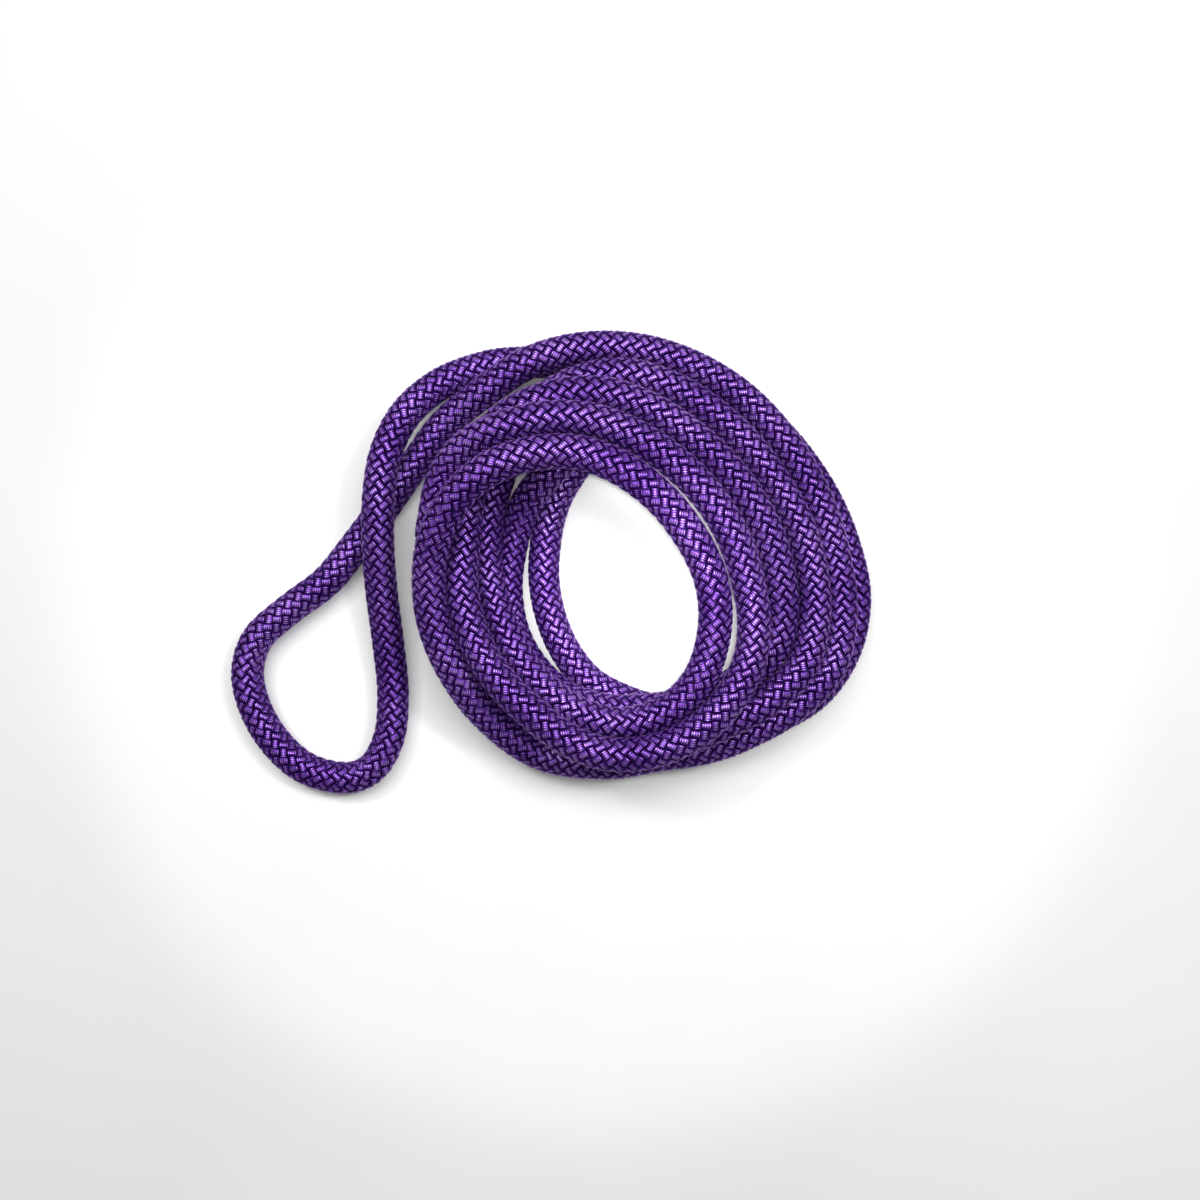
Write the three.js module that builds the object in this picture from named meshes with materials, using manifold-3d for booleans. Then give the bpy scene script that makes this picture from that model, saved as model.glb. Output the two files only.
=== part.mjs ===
// A coiled rope lying flat, with one bight drawn out of the coil. Millimetres, +Z up, floor at z = 0.
// The turns of the coil are one closed ring, the bight is one tube, and each of the two rope ends,
// which are tucked inside the coil, is built as a sheath, core strands, marker tape, sleeve and tip.
import * as THREE from 'three';
import { mergeVertices } from 'three/addons/utils/BufferGeometryUtils.js';
import Module from 'manifold-3d';

// Rope
const ROPE_R = 4.75;
const BORE_R = 4.0;
const GAP = 0.3;
const TUBE_SIDES = 12;

// Coil: a stack of turns that leans towards -X and -Y as it rises
const COIL_BASE = [33, 6];
const COIL_LEAN = [-0.66, -0.3];
const COIL_SEGMENTS = 48;
// Radius and height around the section of the ring
const COIL_PROFILE = [
  [28, 0], [62, 0], [66, 4], [66, 14], [48, 40], [43, 44], [37, 44], [32.5, 40],
];

// Bight: centre line from where the upper leg leaves the coil to where the lower leg comes back to it
const BIGHT_STEPS = 78;
const BIGHT_POINTS = [
  [-13, 62, 6.5], [-23, 59.5, 8], [-33, 55, 10], [-42, 46.5, 13], [-47.5, 35, 15.5],
  [-49.5, 23.5, 16.2], [-50.3, 11, 14.5], [-50.3, -4, 10], [-49, -20, 6.5], [-47.8, -36, 4.8],
  [-49, -49, 4.8], [-54, -58, 4.8], [-61, -61, 4.8], [-74.5, -57.8, 4.8], [-86, -46, 4.8], [-91.2, -31, 4.8],
  [-88.5, -20, 4.8], [-79, -11, 4.8], [-67.5, -2.3, 4.8], [-59.5, 7.5, 4.8], [-51.5, 18.2, 4.8],
  [-45, 27.5, 4.8], [-39.4, 35, 5.5], [-32.2, 44, 7],
];

// The two tucked ends follow one arc, the second above the first
const TAIL_CENTRE = [30, -2];
const TAIL_ARC_R = 44;
const TAIL_STEPS = 12;
const TAILS = [
  { suffix: 'a', height: 6.2, from: 113, to: 65 },
  { suffix: 'b', height: 17.3, from: 120, to: 84 },
];
// Slots in the coil's ring that the ends lie in; the lower one is open to the floor
const SLOTS = [
  { width: 13.6, bottom: -1, top: 12.8, from: 115, to: 63 },
  { width: 12.6, bottom: 10.9, top: 23.8, from: 121.5, to: 82.5 },
];

// What is inside the sheath and on the ends
const STRAND_R = 1.05;
const STRAND_RING_R = 2.4;
const STRAND_SIDES = 8;
const TAPE = { inner: 3.4, outer: 3.65, halfWidth: 0.7, angle: 30 };
const SLEEVE = { inner: 5.05, outer: 5.5, length: 14 };
const TIP = { radius: 4.55, length: 3, setback: 2.4 };

// Moves the middle of the whole part's base to the origin
const ORIGIN_SHIFT = [-0.29, -2.57, 0];

const COLORS = {
  sheath: 0x4a2391, core: 0xe9e6df, marker_tape: 0xf0c63a, end_sleeve: 0x26232b, fused_tip: 0x2a1650,
};
const ROUGHNESS = { sheath: 0.6, core: 0.8, marker_tape: 0.5, end_sleeve: 0.45, fused_tip: 0.35 };

const wasm = await Module();
wasm.setup();

const group = new THREE.Group();
group.name = 'climbing_rope';

function add(name, geometry, slot) {
  geometry.translate(...ORIGIN_SHIFT);
  const material = new THREE.MeshStandardMaterial({ color: COLORS[slot], roughness: ROUGHNESS[slot] });
  material.name = slot;
  const mesh = new THREE.Mesh(geometry, material);
  mesh.name = name;
  group.add(mesh);
}

function toManifold(geometry) {
  const bare = new THREE.BufferGeometry();
  bare.setAttribute('position', geometry.getAttribute('position').clone());
  if (geometry.index) bare.setIndex(geometry.index.clone());
  const merged = mergeVertices(bare, 1e-4);
  return new wasm.Manifold(new wasm.Mesh({
    numProp: 3,
    vertProperties: new Float32Array(merged.getAttribute('position').array),
    triVerts: new Uint32Array(merged.index.array),
  }));
}

function fromManifold(solid) {
  const mesh = solid.getMesh();
  const geometry = new THREE.BufferGeometry();
  geometry.setAttribute('position', new THREE.BufferAttribute(mesh.vertProperties, 3));
  geometry.setIndex(new THREE.BufferAttribute(mesh.triVerts, 1));
  const flat = geometry.toNonIndexed();
  flat.computeVertexNormals();
  return flat;
}

// A smooth line through the points that never comes nearer the floor than the rope's radius
class LaidCurve extends THREE.Curve {
  constructor(points) {
    super();
    this.spline = new THREE.CatmullRomCurve3(points.map((p) => new THREE.Vector3(...p)));
  }

  getPoint(t, target = new THREE.Vector3()) {
    this.spline.getPoint(t, target);
    target.z = Math.max(target.z, ROPE_R);
    return target;
  }
}

// A level arc between two compass angles, at an offset outwards and upwards from the tail's own arc
class TailCurve extends THREE.Curve {
  constructor(tail, outwards, upwards, from, to) {
    super();
    Object.assign(this, { tail, outwards, upwards, from, to });
  }

  getPoint(t, target = new THREE.Vector3()) {
    const angle = THREE.MathUtils.degToRad(this.from + (this.to - this.from) * t);
    const radius = TAIL_ARC_R + this.outwards;
    return target.set(
      TAIL_CENTRE[0] + radius * Math.cos(angle),
      TAIL_CENTRE[1] + radius * Math.sin(angle),
      this.tail.height + this.upwards,
    );
  }
}

function circle(radius, sides) {
  const points = [];
  for (let i = 0; i < sides; i += 1) {
    const angle = (2 * Math.PI * i) / sides;
    points.push(new THREE.Vector2(radius * Math.cos(angle), radius * Math.sin(angle)));
  }
  return points;
}

function sweep(outline, curve, steps, hole = null) {
  const shape = new THREE.Shape(outline);
  if (hole) shape.holes.push(new THREE.Path(hole));
  return new THREE.ExtrudeGeometry(shape, { extrudePath: curve, steps, bevelEnabled: false });
}

// Degrees of the tail's arc that a length of rope takes up
function arcDegrees(length) {
  return THREE.MathUtils.radToDeg(length / TAIL_ARC_R);
}

function coilRing() {
  const profile = [...COIL_PROFILE, COIL_PROFILE[0]].map(([r, z]) => new THREE.Vector2(r, z));
  const ring = new THREE.LatheGeometry(profile, COIL_SEGMENTS);
  ring.rotateX(Math.PI / 2);
  ring.applyMatrix4(new THREE.Matrix4().set(
    1, 0, COIL_LEAN[0], COIL_BASE[0],
    0, 1, COIL_LEAN[1], COIL_BASE[1],
    0, 0, 1, 0,
    0, 0, 0, 1,
  ));
  return ring;
}

function tailSlot({ width, bottom, top, from, to }) {
  const side = width / 2;
  const outline = [
    new THREE.Vector2(-top, -side), new THREE.Vector2(-bottom, -side),
    new THREE.Vector2(-bottom, side), new THREE.Vector2(-top, side),
  ];
  return sweep(outline, new TailCurve({ height: 0 }, 0, 0, from, to), TAIL_STEPS);
}

function addTail(tail) {
  const { suffix, from, to } = tail;
  const sheathEnd = to + arcDegrees(TIP.setback + GAP);
  const coreEnd = sheathEnd + arcDegrees(GAP);

  const sheath = new TailCurve(tail, 0, 0, from, sheathEnd);
  add(`sheath_tail_${suffix}`,
    sweep(circle(ROPE_R, TUBE_SIDES), sheath, TAIL_STEPS, circle(BORE_R, TUBE_SIDES)), 'sheath');

  for (let i = 0; i < 7; i += 1) {
    const angle = (i - 1) * (Math.PI / 3);
    const ring = i === 0 ? 0 : STRAND_RING_R;
    const strand = new TailCurve(tail, ring * Math.cos(angle), ring * Math.sin(angle), from, coreEnd);
    add(`core_strand_${suffix}_${i + 1}`, sweep(circle(STRAND_R, STRAND_SIDES), strand, TAIL_STEPS), 'core');
  }

  // The tape lies in the valley between two core strands, above and outside the middle one
  const middle = (TAPE.inner + TAPE.outer) / 2;
  const turn = THREE.MathUtils.degToRad(TAPE.angle);
  const out = new THREE.Vector2(-Math.sin(turn), Math.cos(turn));
  const along = new THREE.Vector2(Math.cos(turn), Math.sin(turn));
  const corners = [[-1, -1], [1, -1], [1, 1], [-1, 1]].map(([side, layer]) => (
    along.clone().multiplyScalar(side * TAPE.halfWidth)
      .addScaledVector(out, middle + (layer * (TAPE.outer - TAPE.inner)) / 2)
  ));
  add(`marker_tape_${suffix}`, sweep(corners, new TailCurve(tail, 0, 0, from, coreEnd), TAIL_STEPS), 'marker_tape');

  const sleeve = new TailCurve(tail, 0, 0, to + arcDegrees(SLEEVE.length), to);
  add(`end_sleeve_${suffix}`,
    sweep(circle(SLEEVE.outer, 16), sleeve, 5, circle(SLEEVE.inner, 16)), 'end_sleeve');

  // Melted and rounded end face, standing a little proud of the sleeve
  const profile = [
    [0, 0], [TIP.radius, 0], [TIP.radius, TIP.length * 0.5], [TIP.radius * 0.85, TIP.length * 0.8],
    [TIP.radius * 0.5, TIP.length * 0.95], [0, TIP.length],
  ].map(([r, y]) => new THREE.Vector2(r, y));
  const tip = new THREE.LatheGeometry(profile, 16);
  const end = new TailCurve(tail, 0, 0, from, to);
  const start = end.getPoint(1 - TIP.setback / end.getLength());
  const direction = end.getPoint(1).sub(start).normalize();
  tip.applyQuaternion(new THREE.Quaternion().setFromUnitVectors(new THREE.Vector3(0, 1, 0), direction));
  tip.translate(start.x, start.y, start.z);
  add(`fused_tip_${suffix}`, tip, 'fused_tip');
}

const slots = SLOTS.map((slot) => toManifold(tailSlot(slot)));
const coil = slots.reduce((solid, slot) => solid.subtract(slot), toManifold(coilRing()));
add('rope_coil', fromManifold(coil), 'sheath');
add('rope_bight', sweep(circle(ROPE_R, TUBE_SIDES), new LaidCurve(BIGHT_POINTS), BIGHT_STEPS), 'sheath');
TAILS.forEach(addTail);

export default group;
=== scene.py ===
"""A coiled climbing rope with one bight pulled out, lying on a pale floor, seen from straight above."""
import math

import bpy
import numpy as np
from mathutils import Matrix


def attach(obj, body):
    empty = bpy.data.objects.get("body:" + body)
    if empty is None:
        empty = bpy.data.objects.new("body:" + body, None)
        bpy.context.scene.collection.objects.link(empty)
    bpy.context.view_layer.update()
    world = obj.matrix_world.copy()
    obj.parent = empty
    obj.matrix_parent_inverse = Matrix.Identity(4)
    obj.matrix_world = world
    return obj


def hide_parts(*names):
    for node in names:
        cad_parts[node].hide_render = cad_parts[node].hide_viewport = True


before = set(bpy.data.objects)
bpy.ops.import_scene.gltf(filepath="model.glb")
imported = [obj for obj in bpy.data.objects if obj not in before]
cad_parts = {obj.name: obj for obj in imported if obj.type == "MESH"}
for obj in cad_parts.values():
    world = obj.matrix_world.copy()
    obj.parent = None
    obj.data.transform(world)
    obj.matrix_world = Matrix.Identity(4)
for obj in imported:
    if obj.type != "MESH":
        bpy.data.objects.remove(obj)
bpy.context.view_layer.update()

MM = 0.001

# ---------------------------------------------------------------- camera

CAMERA_PLACE = (0.01371, -0.01057, 0.310)
SENSOR_WIDTH = 36.0
LENS = 30.66


def make_camera():
    data = bpy.data.cameras.new("camera")
    data.sensor_width = SENSOR_WIDTH
    data.lens = LENS
    data.clip_start = 0.01
    data.clip_end = 20.0
    camera = bpy.data.objects.new("camera", data)
    camera.location = CAMERA_PLACE
    bpy.context.collection.objects.link(camera)
    bpy.context.scene.camera = camera


# ---------------------------------------------------------------- the rope's route, in millimetres

ROPE_DIAMETER = 9.5
FLOOR_HEIGHT = 4.78  # the lowest height of the rope's centreline
PART_ORIGIN = np.array([-0.29, -2.57, 0.0])  # what part.mjs adds to every point of the route
ROUTE_STEP = 4.0
CURVE_STEPS = 24  # points worked out between two points that are given

# The pile of turns leans: its axis is at PILE_BASE at the height LEAN_START, and moves by PILE_LEAN for
# each millimetre above that.
LEAN_START = 5.0
PILE_BASE = np.array([34.0, 8.0])
PILE_LEAN = np.array([-0.75, -0.4])

# The tucked ends follow one arc of this centre and radius. Angles are anticlockwise from +X.
TAIL_CENTRE = np.array([30.0, -2.0])
TAIL_RADIUS = 44.0
TAIL_STEP = 8  # degrees between its points
TAIL_A = {"height": 6.2, "first": 65, "last": 113}
TAIL_B = {"height": 17.3, "first": 120, "last": 84}

# The turns in the order of the rope. A point is a compass direction in degrees, clockwise from +Y, then
# the distance from the pile's axis and the height of the rope's centre.
FIRST_TURN = [
    (-60, 36, 4.8), (-90, 36.5, 4.8), (-120, 40.5, 4.8), (-150, 46.5, 4.8), (-180, 50, 4.8),
    (-195, 55, 4.8), (-210, 60, 4.8), (-225, 62.5, 4.8), (-240, 61.5, 4.8), (-255, 58, 4.8),
    (-270, 53, 4.8), (-300, 47.5, 4.8), (-330, 48, 4.8), (-360, 53, 4.8), (-372, 57, 4.8),
]
UPPER_TURNS = [
    (-45, 68.4, 11.5), (-24, 64.6, 15.5), (0, 60.4, 16.5),
    (30, 55, 15.5), (60, 52, 14.5), (90, 55, 14.5), (120, 62, 14.5), (150, 58.5, 13.5), (180, 60.5, 8),
    (210, 70, 7.5), (240, 56.5, 22), (270, 49, 29), (300, 42.5, 36.5), (330, 39.5, 40.5), (360, 37, 40),
    (390, 33, 38.5), (420, 30.5, 36), (450, 32, 34), (480, 34.8, 31), (510, 39.5, 27), (540, 43, 24),
    (570, 43, 20.5), (600, 44, 16.5), (630, 47, 13.5), (660, 49.5, 14.5), (690, 53, 20), (720, 54.5, 22.5),
    (750, 49.5, 21.5), (780, 47, 20), (810, 50.5, 19.5), (840, 55.6, 20), (870, 51.5, 21), (900, 53.5, 17.5),
    (930, 59, 10), (960, 63, 8.5), (990, 57, 17), (1005, 52, 24.5), (1020, 53, 27), (1050, 48.5, 35),
    (1080, 45, 36.5), (1110, 40, 34.5), (1140, 37.7, 32), (1170, 38.6, 29.5), (1200, 45.5, 29.5),
    (1230, 49, 30.5), (1260, 48, 30), (1290, 43.5, 28), (1320, 45, 24.5), (1350, 46.5, 22.5),
    (1365, 49, 19.5), (1380, 53, 17), (1410, 51.5, 28), (1440, 50.5, 30.5), (1470, 44.8, 28.5),
    (1500, 42.4, 26), (1530, 43.9, 23.5), (1560, 47.5, 20.5), (1590, 44.5, 15.5), (1620, 44, 14.5),
    (1650, 48.5, 11.5), (1680, 52, 5.5), (1710, 45.5, 6.5), (1740, 38.5, 13),
]
TURN_STEP = 15  # degrees between the points worked out from them
TURN_FINENESS = 0.5

# The bight that is pulled out of the pile, point by point, from the first turn's end to the upper turns.
BIGHT = [
    (-13, 62, 6.5), (-23, 59.5, 8), (-33, 55, 10), (-42, 46.5, 13), (-47.5, 35, 15.5),
    (-49.5, 23.5, 16.2), (-50.3, 11, 14.5), (-50.3, -4, 10), (-49, -20, 6.5), (-47.8, -36, 4.8),
    (-49, -49, 4.8), (-54, -58, 4.8), (-61, -61, 4.8), (-74.5, -57.8, 4.8), (-86, -46, 4.8),
    (-91.2, -31, 4.8), (-88.5, -20, 4.8), (-79, -11, 4.8), (-67.5, -2.3, 4.8), (-59.5, 7.5, 4.8),
    (-51.5, 18.2, 4.8), (-45, 27.5, 4.8), (-39.4, 35, 5.5), (-32.2, 44, 7),
]


def travel_along(line):
    """The distance travelled from the line's start to each of its points."""
    return np.concatenate([[0], np.cumsum(np.linalg.norm(np.diff(line, axis=0), axis=1))])


def smooth_line(points, step, power=0.5):
    """Even steps along the Catmull-Rom curve through the points. power is how its knots are spaced."""
    points = np.asarray(points, float)
    padded = np.vstack([2 * points[0] - points[1], points, 2 * points[-1] - points[-2]])
    pieces = []
    for p0, p1, p2, p3 in zip(padded, padded[1:], padded[2:], padded[3:]):
        t1 = np.linalg.norm(p1 - p0) ** power
        t2 = t1 + np.linalg.norm(p2 - p1) ** power
        t3 = t2 + np.linalg.norm(p3 - p2) ** power
        t = np.linspace(t1, t2, CURVE_STEPS, endpoint=False)[:, None]
        a1 = (t1 - t) / t1 * p0 + t / t1 * p1
        a2 = (t2 - t) / (t2 - t1) * p1 + (t - t1) / (t2 - t1) * p2
        a3 = (t3 - t) / (t3 - t2) * p2 + (t - t2) / (t3 - t2) * p3
        b1 = (t2 - t) / t2 * a1 + t / t2 * a2
        b2 = (t3 - t) / (t3 - t1) * a2 + (t - t1) / (t3 - t1) * a3
        pieces.append((t2 - t) / (t2 - t1) * b1 + (t - t1) / (t2 - t1) * b2)
    pieces.append(points[-1:])
    line = np.vstack(pieces)
    travel = travel_along(line)
    count = int(round(travel[-1] / step))
    even = np.linspace(0, travel[-1], count + 1)
    return np.stack([np.interp(even, travel, line[:, axis]) for axis in range(3)], axis=1)


def tail_arc(tail):
    """Points along the arc of a tucked end, from its first angle to its last."""
    sign = 1 if tail["last"] > tail["first"] else -1
    angles = np.radians(np.arange(tail["first"], tail["last"] + sign, sign * TAIL_STEP))
    x = TAIL_CENTRE[0] + TAIL_RADIUS * np.cos(angles)
    y = TAIL_CENTRE[1] + TAIL_RADIUS * np.sin(angles)
    return np.stack([x, y, np.full(len(angles), tail["height"])], axis=1)


def wound_turns(turns):
    """Points every TURN_STEP degrees round the leaning axis, through the given directions."""
    knots = np.array(turns, float)
    winding = 1 if knots[-1, 0] > knots[0, 0] else -1
    knots[:, 0] *= winding
    line = smooth_line(knots, TURN_FINENESS, power=1.0)
    directions = np.arange(knots[0, 0], knots[-1, 0] + 1, TURN_STEP)
    radius = np.interp(directions, line[:, 0], line[:, 1])
    height = np.interp(directions, line[:, 0], line[:, 2])
    axis = PILE_BASE + np.outer(height - LEAN_START, PILE_LEAN)
    compass = np.radians(directions * winding)
    x = axis[:, 0] + radius * np.sin(compass)
    y = axis[:, 1] + radius * np.cos(compass)
    return np.stack([x, y, height], axis=1)


# How the passes of the rope settle on each other
SETTLE_ROUNDS = 300
SETTLE_SMOOTHINGS = 3
SETTLE_STIFFNESS = 0.35
SETTLE_KEEP = np.array([0.98, 0.98, 0.992])  # how much of its shift a point keeps in each round
SAME_PASS = 26.0  # points nearer than this along the rope don't push each other


def settle(guide):
    """Lets the rope's passes push each other apart until none lies inside another or below the floor."""
    count = len(guide)
    first, second = np.triu_indices(count, int(SAME_PASS / ROUTE_STEP) + 1)
    line = guide.copy()
    for _ in range(SETTLE_ROUNDS):
        shift = line - guide
        for _ in range(SETTLE_SMOOTHINGS):
            shift[1:-1] += SETTLE_STIFFNESS * (0.5 * (shift[:-2] + shift[2:]) - shift[1:-1])
        line = guide + shift * SETTLE_KEEP
        gap = line[first] - line[second]
        distance = np.sqrt(np.einsum("ij,ij->i", gap, gap))
        close = np.nonzero(distance < ROPE_DIAMETER)[0]
        overlap = ROPE_DIAMETER / np.maximum(distance[close], 1e-6) - 1.0
        push = gap[close] * (0.5 * overlap)[:, None]
        total = np.zeros_like(line)
        met = np.zeros(count)
        np.add.at(total, first[close], push)
        np.add.at(total, second[close], -push)
        np.add.at(met, first[close], 1)
        np.add.at(met, second[close], 1)
        line += total / np.maximum(met, 1)[:, None]
        line[:, 2] = np.maximum(line[:, 2], FLOOR_HEIGHT)
    return line


def rope_route():
    """The rope's centreline from one tucked end to the other."""
    parts = [
        tail_arc(TAIL_A),
        wound_turns(FIRST_TURN),
        np.array(BIGHT, float),
        wound_turns(UPPER_TURNS),
        tail_arc(TAIL_B),
    ]
    guide = smooth_line(np.vstack(parts), ROUTE_STEP)
    return settle(guide) + PART_ORIGIN


# ---------------------------------------------------------------- the braided sheath

CARRIERS = 8  # ribbons each way round, each passing over one and under one
LAY_LENGTH = 29.0  # along the rope, for one turn of a ribbon round it
CROSSING = LAY_LENGTH / (2 * CARRIERS)  # along the rope, from one crossing of a ribbon to its next
STEPS_PER_REPEAT = 8
FINE_STEP = 0.5
PLIES = 4  # parallel plies in one ribbon
# Painted shade: the valleys between the plies are coloured this much darker than their crests.
PLY_SHADE = 0.9  # how much darker the valleys between the plies are than their crests
RIBBON_HALF_WIDTH = 1.24
RIBBON_SPREAD = 0.06  # how much wider a ribbon is where it lies on top
PLY_CREST = 0.25
PLY_VALLEY = -0.02
RIBBON_EDGE = -0.12
RIBBON_UNDERSIDE = -0.28
RIBBON_ROUNDING = 0.07  # how far a ribbon's sides bend down round the rope
BRAID_RADIUS = 4.05
BRAID_LIFT = 0.46  # how far a ribbon rises and falls as it passes over and under
# The thin tube under the ribbons, nearly black as painted shade for the gaps between them
SHADE_TUBE_OUTER = 3.66
SHADE_TUBE_INNER = 3.36
SHADE_TUBE_SIDES = 14
SHADE_TUBE_STEP = 2.0

# Near its ends the braid is squeezed by the sleeves, and it stops short of the melted tips.
SLEEVE_LENGTH = 14.0
SLEEVE_SQUEEZE = 0.92
SQUEEZE_FADE = 4.0
BRAID_SETBACK = 2.7


def ribbon_section():
    """Points across a ribbon, from one edge over its plies to the other, then its underside."""
    section = [(-1.0, RIBBON_EDGE)]
    for ply in range(PLIES):
        section.append(((2 * ply + 1) / PLIES - 1, PLY_CREST))
        if ply < PLIES - 1:
            section.append(((2 * ply + 2) / PLIES - 1, PLY_VALLEY))
    section.append((1.0, RIBBON_EDGE))
    section.append((0.0, RIBBON_UNDERSIDE))
    return section


def frames_along(line):
    """Tangents, normals and binormals that don't twist round the line."""
    tangents = np.gradient(line, axis=0)
    tangents /= np.linalg.norm(tangents, axis=1)[:, None]
    normals = np.zeros_like(line)
    up = np.array([0.0, 0.0, 1.0])
    normals[0] = up - tangents[0] * (up @ tangents[0])
    normals[0] /= np.linalg.norm(normals[0])
    for i in range(1, len(line)):
        step = line[i] - line[i - 1]
        square = step @ step
        moved = normals[i - 1] - step * (2 * (step @ normals[i - 1]) / square)
        turned = tangents[i - 1] - step * (2 * (step @ tangents[i - 1]) / square)
        rest = tangents[i] - turned
        moved -= rest * (2 * (rest @ moved) / max(rest @ rest, 1e-12))
        normals[i] = moved / np.linalg.norm(moved)
    return tangents, normals, np.cross(tangents, normals)


def spokes_along(line, sides):
    """Unit directions across the line: one row of them, all the way round, for every point."""
    _, normals, binormals = frames_along(line)
    angles = np.arange(sides) * 2 * math.pi / sides
    upwards = normals[:, None] * np.cos(angles)[None, :, None]
    sideways = binormals[:, None] * np.sin(angles)[None, :, None]
    return upwards + sideways


def grid_faces(starts, rings, sides):
    """Quads between the rings of closed tubes, whose vertices begin at each of starts."""
    ring = np.arange(rings - 1)[:, None] * sides
    side = np.arange(sides)[None, :]
    following = (side + 1) % sides
    quads = np.stack([
        ring + side, ring + following, ring + sides + following, ring + sides + side,
    ], axis=-1)
    return (np.asarray(starts)[:, None, None] + quads.reshape(1, -1, 4)).reshape(-1, 4)


def squeeze_along(line):
    """The braid's scale at every point of the line: less than one under the sleeves at both ends."""
    travel = travel_along(line)
    from_end = np.minimum(travel, travel[-1] - travel) + BRAID_SETBACK
    free = np.clip((from_end - SLEEVE_LENGTH) / SQUEEZE_FADE, 0, 1)
    return SLEEVE_SQUEEZE + (1 - SLEEVE_SQUEEZE) * free * free * (3 - 2 * free)


def braided_ribbons(line):
    """Vertices of all ribbons, their places (across, along, ribbon's number) and how far out each stands,
    which sets the painted shade and highlight of the sheath's colour.
    """
    _, normals, binormals = frames_along(line)
    spacing = np.linalg.norm(np.diff(line, axis=0), axis=1).mean()
    along = np.arange(len(line)) * spacing
    squeeze = squeeze_along(line)
    section = ribbon_section()
    vertices = []
    places = []
    heights = []
    for hand in (1, -1):
        for carrier in range(CARRIERS):
            angle = 2 * math.pi * (carrier / CARRIERS + hand * along / LAY_LENGTH)
            wave = hand * np.cos(math.pi * along / CROSSING)
            outward = normals * np.cos(angle)[:, None] + binormals * np.sin(angle)[:, None]
            centre = line + outward * (squeeze * (BRAID_RADIUS + BRAID_LIFT * wave))[:, None]
            course = np.gradient(centre, axis=0)
            across = np.cross(outward, course)
            across /= np.linalg.norm(across, axis=1)[:, None]
            width = RIBBON_HALF_WIDTH * (1.0 + RIBBON_SPREAD * wave) * squeeze
            number = np.full(len(line), carrier + CARRIERS * (hand > 0))
            for side, rise in section:
                lift = squeeze * (rise - RIBBON_ROUNDING * side * side)
                vertices.append(centre + across * (side * width)[:, None] + outward * lift[:, None])
                places.append(np.stack([np.full(len(line), side), along, number], axis=1))
                # Painted shade and highlight: the sheath's colour is darkest where a ribbon dives under and
                # in the ply valleys, palest on its crests.
                heights.append(0.5 + 0.5 * wave + (rise - PLY_CREST) * PLY_SHADE)
    shape = (2 * CARRIERS, len(section), len(line), 3)
    vertices = np.array(vertices).reshape(shape).transpose(0, 2, 1, 3).reshape(-1, 3)
    places = np.array(places).reshape(shape).transpose(0, 2, 1, 3).reshape(-1, 3)
    heights = np.array(heights).reshape(shape[:3]).transpose(0, 2, 1).ravel()
    return vertices, places, heights


def tube_faces(starts, rings, sides, turned=False):
    """The quads of closed tubes and the caps on both their ends. turned faces them the other way."""
    quads = grid_faces(starts, rings, sides)
    last = (rings - 1) * sides
    caps = []
    for start in starts:
        caps.append(np.arange(start, start + sides)[::-1])
        caps.append(np.arange(start + last, start + last + sides))
    if turned:
        quads = quads[:, ::-1]
        caps = [cap[::-1] for cap in caps]
    return quads, caps


def mesh_piece(name, vertices, quads, caps, materials, face_slots=None):
    """A smooth mesh object from arrays in millimetres. caps are faces with any number of corners."""
    mesh = bpy.data.meshes.new(name)
    corners = np.concatenate([quads.reshape(-1)] + [np.asarray(cap) for cap in caps])
    sizes = np.concatenate([np.full(len(quads), 4), np.array([len(cap) for cap in caps], int)])
    starts = np.concatenate([[0], np.cumsum(sizes)[:-1]])
    mesh.vertices.add(len(vertices))
    mesh.vertices.foreach_set("co", (np.asarray(vertices) * MM).astype(np.float32).ravel())
    mesh.loops.add(len(corners))
    mesh.loops.foreach_set("vertex_index", corners.astype(np.int32))
    mesh.polygons.add(len(sizes))
    mesh.polygons.foreach_set("loop_start", starts.astype(np.int32))
    if face_slots is not None:
        mesh.polygons.foreach_set("material_index", np.asarray(face_slots, np.int32))
    mesh.update(calc_edges=True)
    mesh.polygons.foreach_set("use_smooth", np.ones(len(sizes), bool))
    for material in materials:
        mesh.materials.append(material)
    piece = bpy.data.objects.new(name, mesh)
    bpy.context.collection.objects.link(piece)
    return piece


def cut_back(line, step):
    """The line at even steps, without the last BRAID_SETBACK at either end."""
    travel = travel_along(line)
    length = travel[-1] - 2 * BRAID_SETBACK
    places = BRAID_SETBACK + np.linspace(0, length, int(round(length / step)) + 1)
    return np.stack([np.interp(places, travel, line[:, axis]) for axis in range(3)], axis=1)


def shade_tube(fine, first):
    """Vertices and quads of the thin tube under the ribbons, whose dark colour is painted shade. first is
    the number of its first vertex.
    """
    line = cut_back(fine, SHADE_TUBE_STEP)
    spokes = spokes_along(line, SHADE_TUBE_SIDES) * squeeze_along(line)[:, None, None]
    outer = (line[:, None] + spokes * SHADE_TUBE_OUTER).reshape(-1, 3)
    inner = (line[:, None] + spokes * SHADE_TUBE_INNER).reshape(-1, 3)
    inner_first = first + len(outer)
    outer_quads = grid_faces([first], len(line), SHADE_TUBE_SIDES)
    inner_quads = grid_faces([inner_first], len(line), SHADE_TUBE_SIDES)[:, ::-1]
    side = np.arange(SHADE_TUBE_SIDES)
    following = (side + 1) % SHADE_TUBE_SIDES
    near_rim = np.stack([
        first + side, inner_first + side, inner_first + following, first + following,
    ], axis=1)
    far_rim = near_rim[:, ::-1] + (len(line) - 1) * SHADE_TUBE_SIDES
    return np.vstack([outer, inner]), np.vstack([outer_quads, inner_quads, near_rim, far_rim])


def add_attribute(piece, name, kind, key, values):
    """Stores values at the piece's first vertices and zero at the others."""
    whole = np.zeros((len(piece.data.vertices), *values.shape[1:]), np.float32)
    whole[:len(values)] = values
    layer = piece.data.attributes.new(name, kind, "POINT")
    layer.data.foreach_set(key, whole.ravel())


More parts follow.
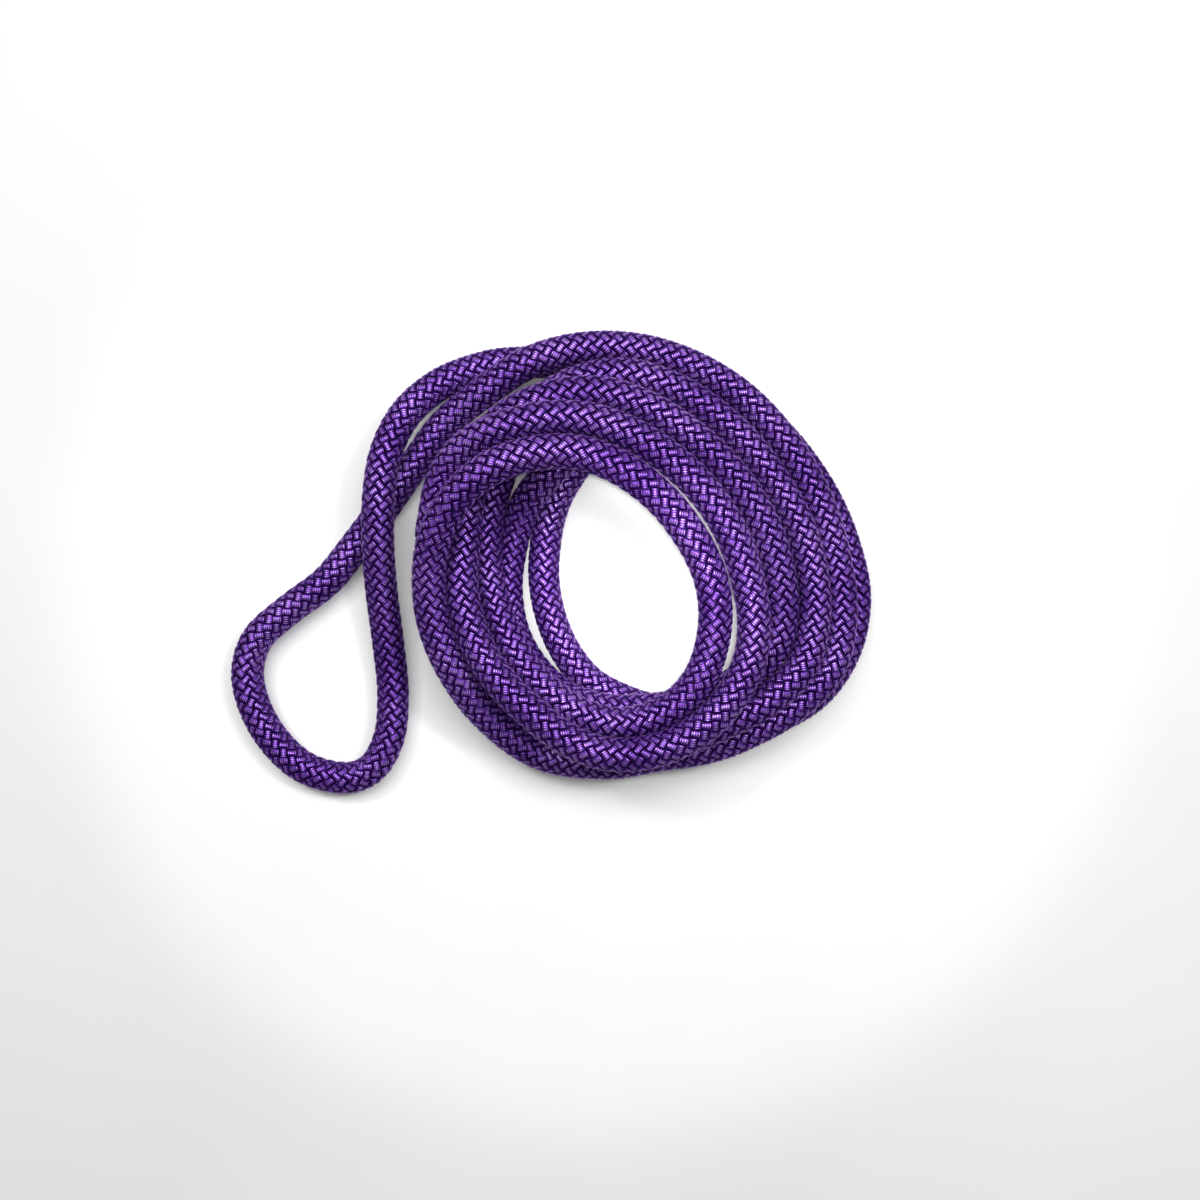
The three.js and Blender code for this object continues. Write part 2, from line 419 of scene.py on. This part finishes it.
def make_rope(route, materials):
    """The rope from end to end: the braided ribbons on a thin dark tube, painted shade for the gaps between
    them.
    """
    fine = smooth_line(route, FINE_STEP)
    line = cut_back(fine, 2 * CROSSING / STEPS_PER_REPEAT)
    ribbon_points, places, heights = braided_ribbons(line)
    sides = len(ribbon_section())
    starts = np.arange(2 * CARRIERS) * len(line) * sides
    ribbon_quads, caps = tube_faces(starts, len(line), sides)
    shade_tube_points, shade_tube_quads = shade_tube(fine, len(ribbon_points))
    vertices = np.vstack([ribbon_points, shade_tube_points])
    quads = np.vstack([ribbon_quads, shade_tube_quads])
    slots = np.concatenate([np.zeros(len(ribbon_quads)), np.ones(len(shade_tube_quads)), np.zeros(len(caps))])
    rope = mesh_piece("rope", vertices, quads, caps, materials, slots)
    add_attribute(rope, "yarn_place", "FLOAT_VECTOR", "vector", places)
    add_attribute(rope, "yarn_height", "FLOAT", "value", heights)
    return rope


# ---------------------------------------------------------------- what is on and in the tucked ends

END_SIDES = 36
END_POINTS = 16  # of the route, which are enough for everything on one end
SLEEVE_INNER = 4.42
SLEEVE_OUTER = 4.72
SLEEVE_EDGE = 0.12
SLEEVE_IMPRINT = 0.035  # how far the braid below shows through the shrunk sleeve
SLEEVE_RINGS = 40
TIP_RADIUS = 4.36
TIP_BASE = 2.4  # how far inside the rope's end the tip begins
TIP_SHOULDER = 0.3  # where its side turns into its dome
TIP_DOME = 0.6  # how far its face stands beyond the rope's end
TIP_SIDE_RINGS = 6
TIP_DOME_RINGS = 11
TIP_LUMPS = 0.07
TIP_LUMP_COUNT = 5  # round the tip
TIP_LUMP_START = 0.6  # radians round the tip
TIP_LUMP_WAVE = 2.1  # radians for each millimetre along the tip
CORE_LENGTHS = {"a": 36.8, "b": 27.6}  # how far from the rope's end the core is built
CORE_SETBACK = 3.0
CORE_STEP = 0.7
STRAND_COUNT = 7  # one in the middle and six round it
STRAND_RADIUS = 0.94
STRAND_RING = 1.98
STRAND_SIDES = 18
STRAND_LOBES = 3
STRAND_LOBE_DEPTH = 0.16
STRAND_LAY = 9.0
TAPE_MIDDLE = 2.79
TAPE_THICKNESS = 0.1
TAPE_HALF_WIDTH = 0.7
TAPE_ANGLE = 30
TAPE_COLUMNS = 6
TAPE_CRINKLE = 0.02
TAPE_CRINKLE_TURN = 1.9  # radians for each millimetre along the tape
TAPE_CRINKLE_SLANT = 2.0


def end_line(route, distances):
    """Points at distances inwards from the route's first point. A negative distance lies beyond it."""
    near = smooth_line(route[:END_POINTS], FINE_STEP)
    travel = travel_along(near)
    outwards = near[0] - near[1]
    outwards /= np.linalg.norm(outwards)
    points = np.stack([np.interp(distances, travel, near[:, axis]) for axis in range(3)], axis=1)
    return points + np.clip(-np.asarray(distances), 0, None)[:, None] * outwards


def rings_round(route, distances, radii):
    """Vertices of rings about the end line. radii has a row for every distance."""
    order = np.argsort(distances, kind="stable")
    apart = distances[order] + np.arange(len(order)) * 1e-4  # so that no two points are the same
    spokes = np.empty((*radii.shape, 3))
    spokes[order] = spokes_along(end_line(route, apart), radii.shape[1])
    return (end_line(route, distances)[:, None] + spokes * radii[:, :, None]).reshape(-1, 3)


def make_sleeve(name, route, material):
    """A thin shrunk tube with rounded rims, closed on itself from its outside to its inside."""
    run = np.linspace(SLEEVE_EDGE, SLEEVE_LENGTH - SLEEVE_EDGE, SLEEVE_RINGS)
    middle = 0.5 * (SLEEVE_INNER + SLEEVE_OUTER)
    distances = np.concatenate([[0.0], run, [SLEEVE_LENGTH], run[::-1]])
    radius = np.concatenate([
        [middle], np.full(len(run), SLEEVE_OUTER), [middle], np.full(len(run), SLEEVE_INNER),
    ])
    angles = np.arange(END_SIDES) * 2 * math.pi / END_SIDES
    imprint = np.outer(np.cos(math.pi * distances / CROSSING), np.cos(CARRIERS * angles))
    outside = (radius == SLEEVE_OUTER)[:, None]
    radii = radius[:, None] + outside * imprint * SLEEVE_IMPRINT
    points = rings_round(route, distances, radii)
    quads = grid_faces([0], len(distances) + 1, END_SIDES) % len(points)
    return mesh_piece(name, points, quads[:, ::-1], [], [material])


def make_tip(name, route, material):
    """The melted end of the rope: a short plug with a rounded, slightly lumpy face."""
    turn = np.linspace(0, 0.5 * math.pi, TIP_DOME_RINGS, endpoint=False)
    side = np.linspace(TIP_BASE, TIP_SHOULDER, TIP_SIDE_RINGS)
    distances = np.concatenate([side, -TIP_DOME * np.sin(turn)])
    radius = np.concatenate([np.full(len(side), TIP_RADIUS), TIP_RADIUS * np.cos(turn)])
    angles = np.arange(END_SIDES) * 2 * math.pi / END_SIDES
    round_tip = np.cos(TIP_LUMP_COUNT * angles + TIP_LUMP_START)
    lumps = np.outer(np.sin(TIP_LUMP_WAVE * distances), round_tip) - 1.0
    radii = radius[:, None] + TIP_LUMPS * lumps * (radius / TIP_RADIUS)[:, None]
    points = rings_round(route, distances, radii)
    quads, caps = tube_faces([0], len(distances), END_SIDES, turned=True)
    return mesh_piece(name, points, quads, caps, [material])


def make_strand(name, route, distances, number, material):
    """One core strand, laid from plies that wind round each other. Number 0 is the middle one."""
    centre = end_line(route, distances)
    if number > 0:
        spokes = spokes_along(centre, STRAND_COUNT - 1)
        centre = centre + spokes[:, number - 1] * STRAND_RING
    angles = np.arange(STRAND_SIDES) * 2 * math.pi / STRAND_SIDES
    winding = angles[None, :] - (2 * math.pi / STRAND_LAY) * distances[:, None]
    lobes = np.abs(np.cos(0.5 * STRAND_LOBES * winding))
    radii = STRAND_RADIUS * (1 - STRAND_LOBE_DEPTH * (1 - lobes))
    points = (centre[:, None] + spokes_along(centre, STRAND_SIDES) * radii[:, :, None]).reshape(-1, 3)
    quads, caps = tube_faces([0], len(distances), STRAND_SIDES)
    return mesh_piece(name, points, quads, caps, [material])


def make_tape(name, route, distances, material):
    """The flat marker tape, slightly crinkled, in the valley between two core strands."""
    line = end_line(route, distances)
    _, normals, binormals = frames_along(line)
    angle = math.radians(TAPE_ANGLE)
    outward = normals * math.cos(angle) + binormals * math.sin(angle)
    across = binormals * math.cos(angle) - normals * math.sin(angle)
    columns = np.linspace(-1, 1, TAPE_COLUMNS)
    section = [(side, 0.5) for side in columns] + [(side, -0.5) for side in columns[::-1]]
    rows = []
    for side, layer in section:
        crinkle = TAPE_CRINKLE * np.sin(TAPE_CRINKLE_TURN * distances + TAPE_CRINKLE_SLANT * side)
        rise = TAPE_MIDDLE + layer * TAPE_THICKNESS + crinkle
        rows.append(line + outward * rise[:, None] + across * (side * TAPE_HALF_WIDTH))
    points = np.array(rows).transpose(1, 0, 2).reshape(-1, 3)
    quads, caps = tube_faces([0], len(distances), len(section), turned=True)
    return mesh_piece(name, points, quads, caps, [material])


def stand_in(piece, slot, *nodes):
    """Says that the piece, part of the one body, is seen in place of the CAD nodes."""
    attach(piece, "root")
    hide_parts(*nodes)


def make_end(letter, route, materials):
    """Everything on and in one tucked end, where the route starts. Returns its sleeve and its tip."""
    sleeve = make_sleeve(f"sleeve_{letter}", route, materials["end_sleeve"])
    tip = make_tip(f"tip_{letter}", route, materials["fused_tip"])
    distances = np.arange(CORE_SETBACK, CORE_LENGTHS[letter], CORE_STEP)
    tape = make_tape(f"tape_{letter}", route, distances, materials["marker_tape"])
    stand_in(sleeve, "end_sleeve", f"end_sleeve_{letter}")
    stand_in(tip, "fused_tip", f"fused_tip_{letter}")
    stand_in(tape, "marker_tape", f"marker_tape_{letter}")
    for number in range(STRAND_COUNT):
        strand = make_strand(f"strand_{letter}_{number + 1}", route, distances, number, materials["core"])
        stand_in(strand, "core", f"core_strand_{letter}_{number + 1}")
    return [sleeve, tip]


# ---------------------------------------------------------------- materials

# Colours of the sheath, from painted shade in the hollows of the braid up to a painted highlight on the
# crests of its plies
HOLLOW_SHADE_VIOLET = (0.006, 0.001, 0.022, 1)
DEEP_SHADE_VIOLET = (0.020, 0.003, 0.078, 1)
BRIGHT_VIOLET = (0.110, 0.026, 0.290, 1)
CREST_HIGHLIGHT_LILAC = (0.445, 0.285, 0.640, 1)
# How the filament noise is stretched: across a ribbon, along it, and from ribbon to ribbon
FILAMENT_STRETCH = (14.0, 0.8, 5.3)
FILAMENT_SHADE = 0.35
PATCH_SHADE = 0.25
SHADE_OFFSET = 0.30
FILAMENT_RELIEF = 0.00010  # metres, as are the relief heights below
SLEEVE_RELIEF = 0.00004
TIP_RELIEF = 0.00008
CORE_RELIEF = 0.00006
TAPE_RELIEF = 0.00003


def new_material(name, **settings):
    """A material with its shader's sockets set, an underscore in a keyword standing for a space."""
    material = bpy.data.materials.new(name)
    material.use_nodes = True
    shader = material.node_tree.nodes["Principled BSDF"]
    for socket, value in settings.items():
        shader.inputs[socket.replace("_", " ")].default_value = value
    return material, material.node_tree, shader


def add_node(tree, kind, inputs=None, **settings):
    """A new node. Its inputs are given as values or as the sockets that feed them."""
    node = tree.nodes.new(kind)
    for key, value in settings.items():
        setattr(node, key, value)
    for key, value in (inputs or {}).items():
        socket = node.inputs[key]
        if isinstance(value, bpy.types.NodeSocket):
            tree.links.new(value, socket)
        else:
            socket.default_value = value
    return node


def colour_ramp(tree, factor, stops):
    """The colour that the factor picks between the stops, each a position and a colour."""
    node = add_node(tree, "ShaderNodeValToRGB", {"Fac": factor})
    ramp = node.color_ramp
    while len(ramp.elements) < len(stops):
        ramp.elements.new(0.5)
    for element, (position, colour) in zip(ramp.elements, stops):
        element.position = position
        element.color = colour
    return node.outputs["Color"]


def math_node(tree, operation, *values):
    """The result of a sum on values or sockets."""
    node = add_node(tree, "ShaderNodeMath", operation=operation)
    for index, value in enumerate(values):
        if isinstance(value, bpy.types.NodeSocket):
            tree.links.new(value, node.inputs[index])
        else:
            node.inputs[index].default_value = value
    return node.outputs[0]


def sheath_material():
    """Glossy dyed filaments, with a painted highlight on the crests of the plies and painted shade, nearly
    black, in the hollows.
    """
    material, tree, shader = new_material(
        "sheath_yarn",
        Metallic=0.50,
        Roughness=0.25,
        Specular_Tint=(0.74, 0.56, 0.92, 1.0),
        Specular_IOR_Level=0.28,
    )
    place = add_node(tree, "ShaderNodeAttribute", attribute_name="yarn_place").outputs["Vector"]
    height = add_node(tree, "ShaderNodeAttribute", attribute_name="yarn_height").outputs["Fac"]
    across_along_ribbon = add_node(tree, "ShaderNodeSeparateXYZ", {"Vector": place}).outputs
    stretched = [
        math_node(tree, "MULTIPLY", part, scale)
        for part, scale in zip(across_along_ribbon, FILAMENT_STRETCH)
    ]
    stretched = add_node(tree, "ShaderNodeCombineXYZ", dict(zip("XYZ", stretched))).outputs[0]
    filaments = add_node(
        tree, "ShaderNodeTexNoise", {"Vector": stretched, "Scale": 1.5, "Detail": 3.0},
    ).outputs["Fac"]
    piece_place = add_node(tree, "ShaderNodeTexCoord").outputs["Object"]
    patches = add_node(
        tree, "ShaderNodeTexNoise", {"Vector": piece_place, "Scale": 60.0, "Detail": 2.0},
    ).outputs["Fac"]
    streaks = math_node(tree, "MULTIPLY", filaments, FILAMENT_SHADE)
    uneven = math_node(tree, "MULTIPLY_ADD", patches, PATCH_SHADE, streaks)
    shade = math_node(tree, "ADD", height, math_node(tree, "SUBTRACT", uneven, SHADE_OFFSET))
    # Painted shade in the hollows and ply valleys, a painted highlight on the crests; the noise adds random
    # tone.
    stops = [(0.35, HOLLOW_SHADE_VIOLET), (0.62, DEEP_SHADE_VIOLET), (0.82, BRIGHT_VIOLET), (0.98, CREST_HIGHLIGHT_LILAC)]
    tree.links.new(colour_ramp(tree, shade, stops), shader.inputs["Base Color"])
    bump = add_node(
        tree, "ShaderNodeBump", {"Strength": 0.6, "Distance": FILAMENT_RELIEF, "Height": filaments},
    )
    tree.links.new(bump.outputs["Normal"], shader.inputs["Normal"])
    return material


def gap_shade_material():
    """Painted shade: a nearly black tube seen only between the ribbons, standing for the shade in the gaps
    into the rope.
    """
    material, tree, shader = new_material("sheath_gap_shade", Roughness=0.9)
    noise = add_node(tree, "ShaderNodeTexNoise", {"Scale": 900.0}).outputs["Fac"]
    colour = colour_ramp(tree, noise, [(0.3, (0.006, 0.003, 0.012, 1)), (0.7, (0.016, 0.008, 0.028, 1))])
    tree.links.new(colour, shader.inputs["Base Color"])
    return material


def plain_material(name, scale, stops, relief, stretch=(1.0, 1.0, 1.0), **settings):
    """A material whose colour and fine relief follow one noise, fixed to the piece."""
    material, tree, shader = new_material(name, **settings)
    place = add_node(tree, "ShaderNodeTexCoord").outputs["Object"]
    mapped = add_node(tree, "ShaderNodeMapping", {"Vector": place, "Scale": stretch}).outputs["Vector"]
    noise = add_node(
        tree, "ShaderNodeTexNoise", {"Vector": mapped, "Scale": scale, "Detail": 4.0},
    ).outputs["Fac"]
    tree.links.new(colour_ramp(tree, noise, stops), shader.inputs["Base Color"])
    bump = add_node(tree, "ShaderNodeBump", {"Strength": 0.7, "Distance": relief, "Height": noise})
    tree.links.new(bump.outputs["Normal"], shader.inputs["Normal"])
    return material


def end_materials():
    """Black shrunk plastic, melted sheath, white nylon core and yellow tape, by their slots' names."""
    return {
        "end_sleeve": plain_material(
            "end_sleeve", 500.0, [(0.3, (0.010, 0.009, 0.012, 1)), (0.7, (0.028, 0.026, 0.032, 1))],
            SLEEVE_RELIEF, Roughness=0.42,
        ),
        "fused_tip": plain_material(
            "fused_tip", 700.0, [(0.3, (0.010, 0.003, 0.035, 1)), (0.7, (0.045, 0.014, 0.120, 1))],
            TIP_RELIEF, Roughness=0.24,
        ),
        "core": plain_material(
            "core", 900.0, [(0.3, (0.62, 0.60, 0.55, 1)), (0.7, (0.86, 0.85, 0.82, 1))],
            CORE_RELIEF, stretch=(1.0, 3.0, 3.0), Roughness=0.62,
        ),
        "marker_tape": plain_material(
            "marker_tape", 600.0, [(0.3, (0.72, 0.46, 0.03, 1)), (0.7, (0.90, 0.62, 0.06, 1))],
            TAPE_RELIEF, Roughness=0.45,
        ),
    }


def floor_material():
    material, tree, shader = new_material("pale_floor", Roughness=0.85, Specular_IOR_Level=0.2)
    noise = add_node(tree, "ShaderNodeTexNoise", {"Scale": 40.0, "Detail": 4.0}).outputs["Fac"]
    colour = colour_ramp(tree, noise, [(0.3, (0.69, 0.69, 0.685, 1)), (0.7, (0.72, 0.72, 0.715, 1))])
    tree.links.new(colour, shader.inputs["Base Color"])
    return material


# ---------------------------------------------------------------- stage and light

FLOOR_HALF_WIDTH = 2.0
WORLD_STRENGTH = 0.10
KEY_SIZE = (0.12, 0.12)
SPOT_SIZE = 0.01


def make_floor():
    mesh = bpy.data.meshes.new("floor")
    half = FLOOR_HALF_WIDTH
    corners = [(-half, -half, 0), (half, -half, 0), (half, half, 0), (-half, half, 0)]
    mesh.from_pydata(corners, [], [(0, 1, 2, 3)])
    mesh.materials.append(floor_material())
    floor = bpy.data.objects.new("floor", mesh)
    bpy.context.collection.objects.link(floor)


def area_light(name, place, size, power):
    """A softbox that faces the middle of the floor."""
    data = bpy.data.lights.new(name, "AREA")
    data.shape = "RECTANGLE"
    data.size = size[0]
    data.size_y = size[1]
    data.energy = power
    light = bpy.data.objects.new(name, data)
    light.location = place
    direction = -np.array(place, float)
    direction /= np.linalg.norm(direction)
    light.rotation_euler = (math.acos(-direction[2]), 0, math.atan2(-direction[0], direction[1]))
    bpy.context.collection.objects.link(light)


def spot_light(name, cone, blend, tilt, power):
    """A small lamp at the camera, shining down. Its cone and its tilt about X and Y are in degrees."""
    data = bpy.data.lights.new(name, "SPOT")
    data.energy = power
    data.spot_size = math.radians(cone)
    data.spot_blend = blend
    data.shadow_soft_size = SPOT_SIZE
    lamp = bpy.data.objects.new(name, data)
    lamp.location = CAMERA_PLACE
    lamp.rotation_euler = (math.radians(tilt[0]), math.radians(tilt[1]), 0)
    bpy.context.collection.objects.link(lamp)


def make_light():
    """A wide softbox above and behind, two small keys, a weak front lamp and a snoot into the coil."""
    world = bpy.data.worlds.new("studio")
    world.use_nodes = True
    background = world.node_tree.nodes["Background"]
    background.inputs["Color"].default_value = (1.0, 1.0, 1.0, 1.0)
    background.inputs["Strength"].default_value = WORLD_STRENGTH
    bpy.context.scene.world = world
    area_light("overhead", place=(0.03, 0.38, 0.95), size=(0.90, 0.40), power=10.4)
    area_light("left_key", place=(-0.40, 0.38, 0.75), size=KEY_SIZE, power=1.7)
    area_light("right_key", place=(0.46, 0.22, 0.75), size=KEY_SIZE, power=2.9)
    spot_light("front", cone=60.0, blend=0.3, tilt=(0, 0), power=0.9)
    spot_light("snoot", cone=15.0, blend=0.45, tilt=(1.1, -1.85), power=3.6)
    bpy.context.scene.view_settings.view_transform = "Standard"


# ---------------------------------------------------------------- the object

def main():
    make_camera()
    route = rope_route()
    rope = make_rope(route, [sheath_material(), gap_shade_material()])
    materials = end_materials()
    end_pieces = make_end("a", route, materials) + make_end("b", route[::-1], materials)
    stand_in(rope, "sheath", "rope_coil", "rope_bight", "sheath_tail_a", "sheath_tail_b")
    make_floor()
    make_light()


main()
